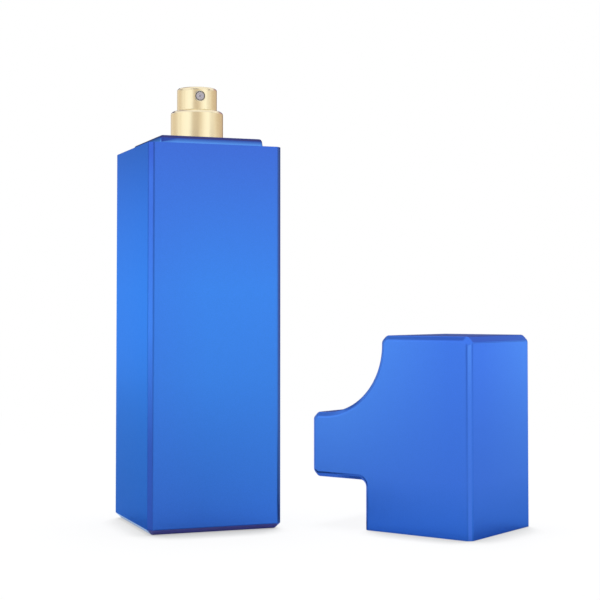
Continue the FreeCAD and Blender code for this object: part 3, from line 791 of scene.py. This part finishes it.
class SPRAYBOTTLE_OT_head(BottleBuilder, bpy.types.Operator):
    """Gold shell of the spray head with its dished top and nozzle hole, and the nozzle insert"""
    bl_idname = "spray_bottle.head"
    bl_label = "Spray head"

    def execute(self, context):
        s, colours = context.scene.pump_sizes, context.scene.finishes
        facing = Matrix.Rotation(s.head_turn, 4, "Z")
        self.shell(s, facing)
        self.nozzle(s, colours, facing)
        return {"FINISHED"}

    def shell(self, s, facing):
        """The shell, with a patch of faces at the front drawn in to a round hole."""
        rows_each_way, columns_each_way, dish_steps = 3, 6, 5
        reach = s.head_top - s.head_round - s.nozzle
        rows = [(s.head, s.nozzle + reach * row / rows_each_way)
                for row in range(-rows_each_way, rows_each_way + 1)]
        ball = dome_radius(s.dish, s.dish_depth)
        dish_centre = s.head_top - s.dish_depth + ball
        bm = bmesh.new()
        line = profile(bm, (s.head, s.head_foot), *rows,
                       ((s.head - s.head_round, s.head_top - s.head_round), -math.pi / 2, EDGE_STEPS),
                       (s.dish, s.head_top), ((0.0, dish_centre), math.asin(s.dish / ball), dish_steps))
        lathe(bm, line, HEAD_STEPS)
        face_outwards(bm)
        spread = math.tau / HEAD_STEPS * columns_each_way
        centres = {f: f.calc_center_median() for f in bm.faces}
        patch = [f for f, centre in centres.items() if abs(centre.z - s.nozzle) < reach
                 and abs(math.atan2(centre.x, -centre.y)) < spread]
        bmesh.ops.delete(bm, geom=patch, context="FACES")
        opening = [e for e in bm.edges if e.is_boundary and e.verts[0].co.z > s.head_foot + NEAR]
        place = Matrix.Translation((0.0, -s.head, s.nozzle)) @ Matrix.Rotation(math.pi / 2, 4, "X")
        hole = bmesh.ops.create_circle(bm, segments=len(opening), radius=s.nozzle_hole, matrix=place)["verts"]
        rim = list({e for v in hole for e in v.link_edges})
        joined = bmesh.ops.bridge_loops(bm, edges=opening + rim)
        spokes = [e for e in joined["edges"] if e not in rim and e not in opening]
        bmesh.ops.subdivide_edges(bm, edges=spokes, cuts=2, use_grid_fill=True)
        for vert in bm.verts:
            if abs(vert.co.z - s.nozzle) < reach + NEAR:
                vert.co.xy = vert.co.xy.normalized() * s.head
        face_outwards(bm)
        bmesh.ops.solidify(bm, geom=bm.faces[:], thickness=s.head_sheet)
        bmesh.ops.transform(bm, matrix=facing, verts=bm.verts)
        made = piece(bm, "head", "head_shell", "spray_head", "gold_metal", gold_finish())
        soften(made, width=0.00006, degrees=40.0)

    def nozzle(self, s, colours, facing):
        """The insert: a rounded disc flared in to the orifice, with a skirt behind it."""
        bore, edge, face = 0.00077, 0.00015, 0.0005
        flare, flare_depth, orifice = 0.00045, 0.00025, 0.00016
        edge_steps = 4
        front = s.nozzle_length
        round_z, round_r = front - edge, s.nozzle_radius - edge
        bm = bmesh.new()
        line = profile(bm, (bore, 0.0), (s.nozzle_radius, 0.0), (s.nozzle_radius, round_z),
                       ((round_r, round_z), -math.pi / 2, edge_steps), (flare, front),
                       (orifice, front - flare_depth), (orifice, front - face), (bore, front - face),
                       (bore, 0.0))
        lathe(bm, line, ROUND_STEPS)
        bmesh.ops.remove_doubles(bm, verts=bm.verts, dist=NEAR)
        face_outwards(bm)
        back = s.head - s.nozzle_recess - s.nozzle_length
        place = facing @ Matrix.Translation((0.0, -back, s.nozzle)) @ Matrix.Rotation(math.pi / 2, 4, "X")
        bmesh.ops.transform(bm, matrix=place, verts=bm.verts)
        made = piece(bm, "nozzle", "nozzle_insert", "spray_head", "nozzle_plastic", nozzle_finish(s, colours))
        soften(made, width=0.00003, degrees=30.0)


class SPRAYBOTTLE_OT_spring(BottleBuilder, bpy.types.Operator):
    """Return spring with closed end turns"""
    bl_idname = "spray_bottle.spring"
    bl_label = "Return spring"

    def execute(self, context):
        s, colours = context.scene.pump_sizes, context.scene.finishes
        wire_sides, turn_steps, open_turns = 12, 28, 5
        gap, end_rise = 0.00002, 0.00056
        rise = s.spring_length - 2 * (s.spring_wire + gap)
        foot = s.spring_foot + s.spring_wire + gap
        bm = bmesh.new()
        place = Matrix.Translation((s.spring_radius, 0.0, foot)) @ Matrix.Rotation(math.pi / 2, 4, "X")
        start = bmesh.ops.create_circle(bm, segments=wire_sides, radius=s.spring_wire, matrix=place)["verts"]
        ring = start + list({e for v in start for e in v.link_edges})
        for turns, climb in ((1, end_rise), (open_turns, rise - 2 * end_rise), (1, end_rise)):
            steps = turn_steps * turns
            coil = bmesh.ops.spin(bm, geom=ring, cent=(0.0, 0.0, 0.0), axis=(0.0, 0.0, 1.0),
                                  dvec=(0.0, 0.0, climb / steps), angle=math.tau * turns, steps=steps,
                                  use_merge=False, use_duplicate=False)
            ring = coil["geom_last"]
        bmesh.ops.holes_fill(bm, edges=[e for e in bm.edges if e.is_boundary], sides=0)
        face_outwards(bm)
        made = piece(bm, "spring", "return_spring", "bottle", "steel",
                     metal_finish("spring steel", colours.steel, roughness=(0.2, 0.32)))
        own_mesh(made)
        return {"FINISHED"}


class SPRAYBOTTLE_OT_cap(BottleBuilder, bpy.types.Operator):
    """Block cap: a square stem, a flag to one side and a quarter-round bite"""
    bl_idname = "spray_bottle.cap"
    bl_label = "Cap"

    def execute(self, context):
        s, colours = context.scene.cap_sizes, context.scene.finishes
        bm = bmesh.new()
        self.block(bm, s)
        self.bevels(bm, s)
        self.hollow(bm, s)
        face_outwards(bm)
        place = Matrix.Translation(s.place) @ Matrix.Rotation(s.turn, 4, "Z")
        bmesh.ops.transform(bm, matrix=place, verts=bm.verts)
        made = piece(bm, "cap", "cap_block", "cap", "lacquered_cap",
                     cap_lacquer(s, colours), cap_edges(s, colours))
        made.visible_glossy = False
        soften(made, FINE_EDGE)
        return {"FINISHED"}

    def block(self, bm, s):
        """The outline with its bite, drawn out from front to back."""
        bite_steps = 28
        half = s.width / 2
        tip = -half - s.flag
        bite_x = tip + s.corner + s.bite_flag
        bite_z = s.height - s.corner - s.bite_stem
        stem_side, flag_top = bite_x + s.bite, bite_z - s.bite
        profile(bm, (stem_side + s.corner, s.height), (stem_side, s.height - s.corner), (stem_side, bite_z),
                ((bite_x, bite_z), math.pi / 2, bite_steps), (tip + s.corner, flag_top),
                (tip, flag_top - s.corner), (tip, s.flag_bottom), (-half, s.flag_bottom), (-half, 0.0),
                (half, 0.0), (half, s.height))
        ends = [v for v in bm.verts if len(v.link_edges) == 1]
        bmesh.ops.contextual_create(bm, geom=ends)
        bmesh.ops.contextual_create(bm, geom=bm.edges[:])
        bmesh.ops.translate(bm, vec=(0.0, -half, 0.0), verts=bm.verts)
        back = bmesh.ops.extrude_face_region(bm, geom=bm.faces[:], use_keep_orig=True)["geom"]
        bmesh.ops.translate(bm, vec=(0.0, s.width, 0.0), verts=verts_of(back))
        face_outwards(bm)

    def bevels(self, bm, s):
        """The notch's round, the clipped corners, and the bevels of the front and the back."""
        half = s.width / 2
        tip = -half - s.flag
        bevel(bm, self.along(bm, -half, s.flag_bottom), s.notch, segments=6)
        clipped = self.along(bm, half, s.height) + self.along(bm, tip, s.flag_bottom)
        bevel(bm, clipped, s.corner, segments=1)
        rims = [e for e in bm.edges if abs(abs(sum(v.co.y for v in e.verts)) - s.width) < NEAR]
        slants = bevel(bm, [e for e in rims if not lies_at(e, 0.0)], s.bevel, segments=1)
        well_aside = 0.5
        # Bevels up the stem's side away from the flag take the edges' lacquer with its painted highlight.
        tone([f for f in slants if f.normal.x > well_aside and abs(f.normal.z) < NEAR])
        tone(bevel(bm, sharp_edges(bm), s.soft_edge, segments=4), FACE_SLOT)

    def along(self, bm, x, z):
        """The edge from front to back at one corner of the outline."""
        return [e for e in bm.edges if lies_at(e, z) and all(abs(v.co.x - x) < NEAR for v in e.verts)]

    def hollow(self, bm, s):
        """Recess for the plinth, and the pocket for the liner above it."""
        (foot,) = [f for f in bm.faces if lies_at(f, 0.0)]
        bmesh.ops.inset_region(bm, faces=[foot], thickness=s.skirt, use_even_offset=True)
        ceiling = bmesh.ops.extrude_face_region(bm, geom=[foot])["geom"]
        bmesh.ops.delete(bm, geom=[foot], context="FACES_ONLY")
        bmesh.ops.translate(bm, vec=(0.0, 0.0, s.recess), verts=verts_of(ceiling))
        remove_faces_at(bm, s.recess)
        pocket = profile(bm, (s.flange, s.recess), (s.flange, s.flange_top), (s.socket, s.flange_top),
                         (s.socket, s.socket_top), (0.0, s.socket_top))
        lathe(bm, pocket, ROUND_STEPS)
        fill_ring(bm, s.recess)


class SPRAYBOTTLE_OT_inner_pieces(BottleBuilder, bpy.types.Operator):
    """Finishes of the pump's inner pieces, the gasket, the dip tube and the cap's liner"""
    bl_idname = "spray_bottle.inner_pieces"
    bl_label = "Inner pieces"

    def execute(self, context):
        colours = context.scene.finishes
        plastic = plastic_finish(colours.plastic)
        finishes = {
            "neck_gasket": rubber_finish(colours.rubber),
            "crimp_ferrule": metal_finish("drawn aluminium", colours.aluminium, roughness=(0.18, 0.3)),
            "inlet_ball": metal_finish("ball steel", colours.steel, roughness=(0.08, 0.14)),
            "dip_tube": tube_finish(colours.tube),
        }
        for name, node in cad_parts.items():
            if name not in REPLACED:
                for material_slot in node.material_slots:
                    material_slot.material = finishes.get(name, plastic)
        return {"FINISHED"}


def around(*marks):
    """Ramp stops from angles about the tent in degrees, counted from the camera's side."""
    camera_side = 0.2025
    return tuple((camera_side + degrees / 360, colour_value) for degrees, colour_value in marks)


def gold_light(brightness):
    """Light of the tent's panels, warmer where it is weaker."""
    green_fall, blue_fall = 1.35, 1.75
    return (brightness, brightness ** green_fall, brightness ** blue_fall)


class SPRAYBOTTLE_OT_stage(BottleBuilder, bpy.types.Operator):
    """Pale floor, round light tent, soft top light and the camera"""
    bl_idname = "spray_bottle.stage"
    bl_label = "Stage"

    def execute(self, context):
        studio = context.scene.studio
        self.floor(studio)
        self.tent_wall(studio)
        self.tent_roof(studio)
        self.light(context.scene, studio)
        self.camera(context.scene, studio)
        context.scene.view_settings.view_transform = "Standard"
        return {"FINISHED"}

    def floor(self, studio):
        """A level surface that runs out to white, darker where the object meets it."""
        seen_fade, mirror_fade = (0.12, 0.5), (0.15, 1.25)
        strip_line, strip_edge, strip_end = (-0.0222, 0.0, 0.0), (0.0032, 0.0012), (-0.0205, -0.0185)
        contact_fade = (0.25, 0.75)
        half_width, drop = 4.0, 0.0001
        paint = Shading(bpy.data.materials.new("pale floor"))
        seen_white, from_camera = paint.seen_rays()
        far = paint.distance(paint.place, (0.0, 0.0, 0.0))
        mirrored = paint.between(far, *mirror_fade)
        _, depth, _ = paint.split()
        # Along the bottle's left foot the floor is bright, which the bevel above it mirrors.
        beside = paint.distance(paint.times(paint.place, (1.0, 0.0, 0.0)), strip_line)
        strip = paint.between(beside, *strip_edge, mirrored, paint.between(depth, *strip_end))
        seen = paint.between(far, *seen_fade, studio.floor_lift, 1.0)
        lift = paint.number("MULTIPLY", paint.between(from_camera, 0.0, 1.0, strip, seen), seen_white)
        speckle = paint.between(paint.noise(scale=300.0), 0.0, 1.0, start=0.99, end=1.01)
        pale = paint.times(paint.blend(from_camera, studio.floor, studio.floor_seen), speckle)
        matt = paint.add("ShaderNodeBsdfDiffuse", Color=pale)
        inwards = paint.add("ShaderNodeCombineXYZ", X=0.25, Y=0.76, Z=0.6).outputs["Vector"]
        contact = paint.add("ShaderNodeAmbientOcclusion", Distance=studio.contact, Normal=inwards)
        contact.samples = 16
        near = paint.between(contact.outputs["AO"], *contact_fade, studio.contact_light, 1.0)
        white = paint.add("ShaderNodeEmission", Color=WHITE, Strength=near)
        mixed = paint.nodes.new("ShaderNodeMixShader")
        for socket, value in zip(mixed.inputs, (lift, matt.outputs[0], white.outputs[0])):
            paint.put(socket, value)
        paint.surface(mixed)
        bm = bmesh.new()
        bmesh.ops.create_grid(bm, x_segments=4, y_segments=4, size=half_width)
        bmesh.ops.translate(bm, vec=(0.0, 0.0, -drop), verts=bm.verts)
        mesh_object(bm, "floor", paint.material)

    def tent_wall(self, studio):
        """The round wall that the lacquer and the gold mirror."""
        paint = Shading(bpy.data.materials.new("tent wall"))
        _, _, height = paint.split()
        gradient = paint.add("ShaderNodeTexGradient", Vector=paint.place)
        gradient.gradient_type = "RADIAL"
        bearing = gradient.outputs["Fac"]
        band = paint.ramp(paint.between(height, 0.0, studio.tent_height), self.band())
        high_cards = paint.ramp(bearing, self.high_cards())
        low_cards = paint.ramp(bearing, self.low_cards())
        low_to_high = (0.52, 0.58)
        lacquer_view = paint.times(band, paint.fade(height, low_to_high, low_cards, high_cards))
        gold_foot, gold_top = (0.255, 0.275), (0.42, 0.38)
        above, below = paint.between(height, *gold_foot), paint.between(height, *gold_top)
        gold_view = paint.ramp(bearing, self.gold_panels())
        view = paint.blend(paint.number("MULTIPLY", above, below), lacquer_view, gold_view)
        paint.shine(view, strength=1.09)
        bm = bmesh.new()
        bmesh.ops.create_circle(bm, segments=TENT_STEPS, radius=studio.tent_radius)
        wall = bmesh.ops.extrude_edge_only(bm, edges=bm.edges[:])["geom"]
        bmesh.ops.translate(bm, vec=(0.0, 0.0, studio.tent_height), verts=verts_of(wall))
        self.cloth(mesh_object(bm, "tent", paint.material))

    def tent_roof(self, studio):
        """The roof, with a shaded patch behind the bottle."""
        patch_centre, patch_edge = (-0.32, 0.5, studio.tent_height), (0.3, 0.48)
        shaded, plain = (0.5, 0.44, 0.52), (0.92, 0.9, 0.94)
        paint = Shading(bpy.data.materials.new("tent roof"))
        apart = paint.distance(paint.place, patch_centre)
        paint.shine(paint.fade(apart, patch_edge, shaded, plain), strength=1.0)
        bm = bmesh.new()
        bmesh.ops.create_circle(bm, cap_ends=True, segments=TENT_STEPS, radius=studio.tent_radius)
        bmesh.ops.translate(bm, vec=(0.0, 0.0, studio.tent_height), verts=bm.verts)
        self.cloth(mesh_object(bm, "tent_roof", paint.material))

    def cloth(self, made):
        """Keeps a piece of the tent for reflections alone."""
        made.visible_camera = False
        made.visible_diffuse = False
        made.visible_shadow = False

    def band(self):
        """Light up the wall: white at bottle height and above, with a greyer band between and a grey top."""
        grey, pale_low, pale_high = (0.7, 0.67, 0.72), (0.85, 0.83, 0.87), (0.85, 0.83, 0.88)
        return ((0.0, WHITE), (0.2, WHITE), (0.28, pale_low), (0.46, grey), (0.58, WHITE), (0.7, WHITE),
                (0.84, pale_high), (1.0, (0.7, 0.68, 0.73)))

    def low_cards(self):
        """Dark and violet cards round the lower wall."""
        shadow, violet, dusk = (0.36, 0.36, 0.42), (0.55, 0.24, 0.33), (0.4, 0.36, 0.42)
        return around((-50, WHITE), (-38, WHITE), (-26, shadow), (4, shadow), (14, WHITE), (54, WHITE),
                      (62, shadow), (76, shadow), (86, WHITE), (115, WHITE), (126, violet), (145, violet),
                      (156, NIGHT), (199, NIGHT), (206, WHITE), (236, WHITE), (246, dusk), (262, dusk),
                      (272, WHITE))

    def high_cards(self):
        """Dark and plum cards round the upper wall."""
        plum = (0.56, 0.42, 0.5)
        return around((104, WHITE), (118, plum), (146, plum), (156, NIGHT), (224, NIGHT), (248, WHITE))

    def gold_panels(self):
        """Brightness round the tent, for the gold."""
        marks = ((-72, 0.91), (-62, 0.96), (-45, 1.0), (-30, 1.0), (-24, 0.92), (-18, 0.77), (-10, 0.7),
                 (8, 0.67), (17, 0.7), (26, 0.84), (35, 0.94), (45, 0.99), (54, 1.0), (64, 0.92), (75, 0.86),
                 (87, 0.75), (98, 0.65), (112, 0.6), (140, 0.6), (158, 0.3), (194, 0.3), (203, 0.7),
                 (214, 0.77), (226, 0.68), (244, 0.7), (259, 0.78), (272, 0.85))
        return around(*((degrees, gold_light(brightness)) for degrees, brightness in marks))

    def light(self, scene, studio):
        """An even white sky and one soft lamp overhead."""
        scene.world = bpy.data.worlds.new("studio")
        sky = Shading(scene.world)
        seen_white, _ = sky.seen_rays()
        background = sky.nodes["Background"].inputs
        sky.put(background["Color"], WHITE)
        sky.put(background["Strength"], sky.between(seen_white, 0.0, 1.0, studio.sky, 1.0))
        lamp = bpy.data.lights.new("top light", "AREA")
        lamp.shape = "DISK"
        lamp.size = 0.5
        lamp.energy = studio.lamp_power
        made = bpy.data.objects.new("top light", lamp)
        made.location = (0.05, 0.1, 1.2)
        made.visible_glossy = False
        made.visible_camera = False
        scene.collection.objects.link(made)

    def camera(self, scene, studio):
        """The photograph's point of view."""
        view = bpy.data.cameras.new("camera")
        view.lens = studio.lens
        view.sensor_width = 36.0
        view.sensor_fit = "HORIZONTAL"
        view.shift_y = studio.shift
        made = bpy.data.objects.new("camera", view)
        made.location = studio.eye
        made.rotation_euler = (math.pi / 2 + studio.pitch, 0.0, studio.turn)
        scene.collection.objects.link(made)
        scene.camera = made


class SPRAYBOTTLE_PT_sidebar(bpy.types.Panel):
    """Lists the pieces and their sizes"""
    bl_idname = "SPRAYBOTTLE_PT_sidebar"
    bl_label = "Spray bottle"
    bl_space_type = "VIEW_3D"
    bl_region_type = "UI"
    bl_category = "Spray bottle"

    def draw(self, context):
        layout = self.layout
        for operator in OPERATORS:
            layout.operator(operator.bl_idname)
        for name in SETTINGS:
            box = layout.box()
            group = getattr(context.scene, name)
            for key in group.__annotations__:
                box.prop(group, key)


SETTINGS = {
    "bottle_sizes": BottleSizes,
    "pump_sizes": PumpSizes,
    "cap_sizes": CapSizes,
    "finishes": Finishes,
    "studio": StudioSettings,
}
OPERATORS = (
    SPRAYBOTTLE_OT_bottle,
    SPRAYBOTTLE_OT_collar,
    SPRAYBOTTLE_OT_head,
    SPRAYBOTTLE_OT_spring,
    SPRAYBOTTLE_OT_cap,
    SPRAYBOTTLE_OT_inner_pieces,
    SPRAYBOTTLE_OT_stage,
)


def register():
    """Adds the settings, the operators and the sidebar."""
    for name, group in SETTINGS.items():
        bpy.utils.register_class(group)
        setattr(bpy.types.Scene, name, PointerProperty(type=group))
    for operator in OPERATORS:
        bpy.utils.register_class(operator)
    bpy.utils.register_class(SPRAYBOTTLE_PT_sidebar)


def unregister():
    """Takes them away again."""
    bpy.utils.unregister_class(SPRAYBOTTLE_PT_sidebar)
    for operator in reversed(OPERATORS):
        bpy.utils.unregister_class(operator)
    for name, group in reversed(SETTINGS.items()):
        delattr(bpy.types.Scene, name)
        bpy.utils.unregister_class(group)


def main():
    """Builds every piece and the stage."""
    register()
    bpy.ops.spray_bottle.bottle()
    bpy.ops.spray_bottle.collar()
    bpy.ops.spray_bottle.head()
    bpy.ops.spray_bottle.spring()
    bpy.ops.spray_bottle.cap()
    bpy.ops.spray_bottle.inner_pieces()
    bpy.ops.spray_bottle.stage()


if __name__ == "__main__":
    main()
